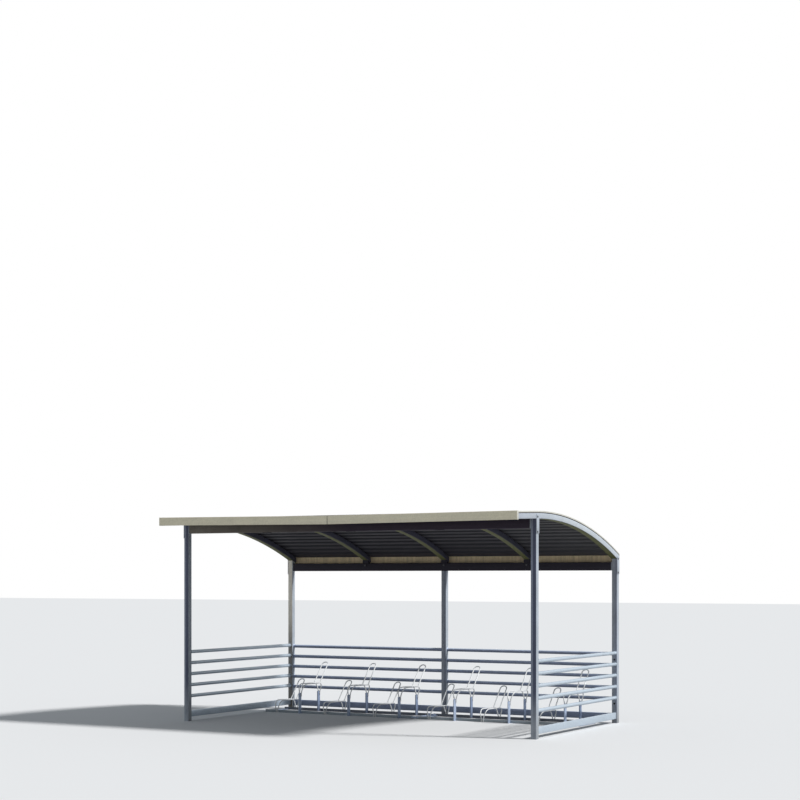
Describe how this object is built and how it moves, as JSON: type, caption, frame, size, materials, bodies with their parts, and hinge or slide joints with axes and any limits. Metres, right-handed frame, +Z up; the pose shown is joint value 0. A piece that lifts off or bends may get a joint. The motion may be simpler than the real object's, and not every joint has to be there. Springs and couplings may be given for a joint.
{
  "type": "bike shelter",
  "caption": "Open bike shelter of galvanised steel posts, curved ribbed roof, tube panels on three sides and a two-level wheel rack.",
  "frame": {"origin": "on the ground, in the middle of the roof's plan", "axes": "+X to the right along the shelter, +Y towards the closed back, +Z up"},
  "size_m": [4.22, 2.568, 2.2076],
  "materials": {
    "frame_steel": "hot-dip galvanised, weathered",
    "roof_sheet": "galvanised ribbed sheet",
    "edge_trim": "galvanised folded sheet, weathered",
    "panel_steel": "hot-dip galvanised tube",
    "rack_steel": "hot-dip galvanised bar"
  },
  "bodies": {
    "root": {"post_front_left": "frame_steel", "post_front_right": "frame_steel", "post_back_left": "frame_steel", "post_back_middle": "frame_steel", "post_back_right": "frame_steel", "front_beam": "frame_steel", "back_beam": "frame_steel", "beam_end_plates": "frame_steel", "post_head_plates": "frame_steel", "arch_wedges": "frame_steel", "roof_arch_1": "frame_steel", "roof_arch_2": "frame_steel", "roof_arch_3": "frame_steel", "roof_arch_4": "frame_steel", "roof_arch_5": "frame_steel", "roof_sheet_left": "roof_sheet", "roof_sheet_right": "roof_sheet", "fascia_left": "edge_trim", "fascia_right": "edge_trim", "rear_flashing_left": "edge_trim", "rear_flashing_right": "edge_trim", "verge_trim_left": "edge_trim", "verge_trim_right": "edge_trim", "side_panel_left": "panel_steel", "side_panel_right": "panel_steel", "back_panel_left": "panel_steel", "back_panel_right": "panel_steel", "rack_1_front_rail": "rack_steel", "rack_1_rear_rail": "rack_steel", "rack_2_front_rail": "rack_steel", "rack_2_rear_rail": "rack_steel", "rack_splices": "rack_steel", "rack_uprights": "rack_steel", "low_holder_1": "rack_steel", "high_holder_1": "rack_steel", "low_holder_2": "rack_steel", "high_holder_2": "rack_steel", "low_holder_3": "rack_steel", "high_holder_3": "rack_steel", "low_holder_4": "rack_steel", "high_holder_4": "rack_steel", "low_holder_5": "rack_steel", "high_holder_5": "rack_steel", "low_holder_6": "rack_steel", "high_holder_6": "rack_steel"}
  },
  "joints": []
}
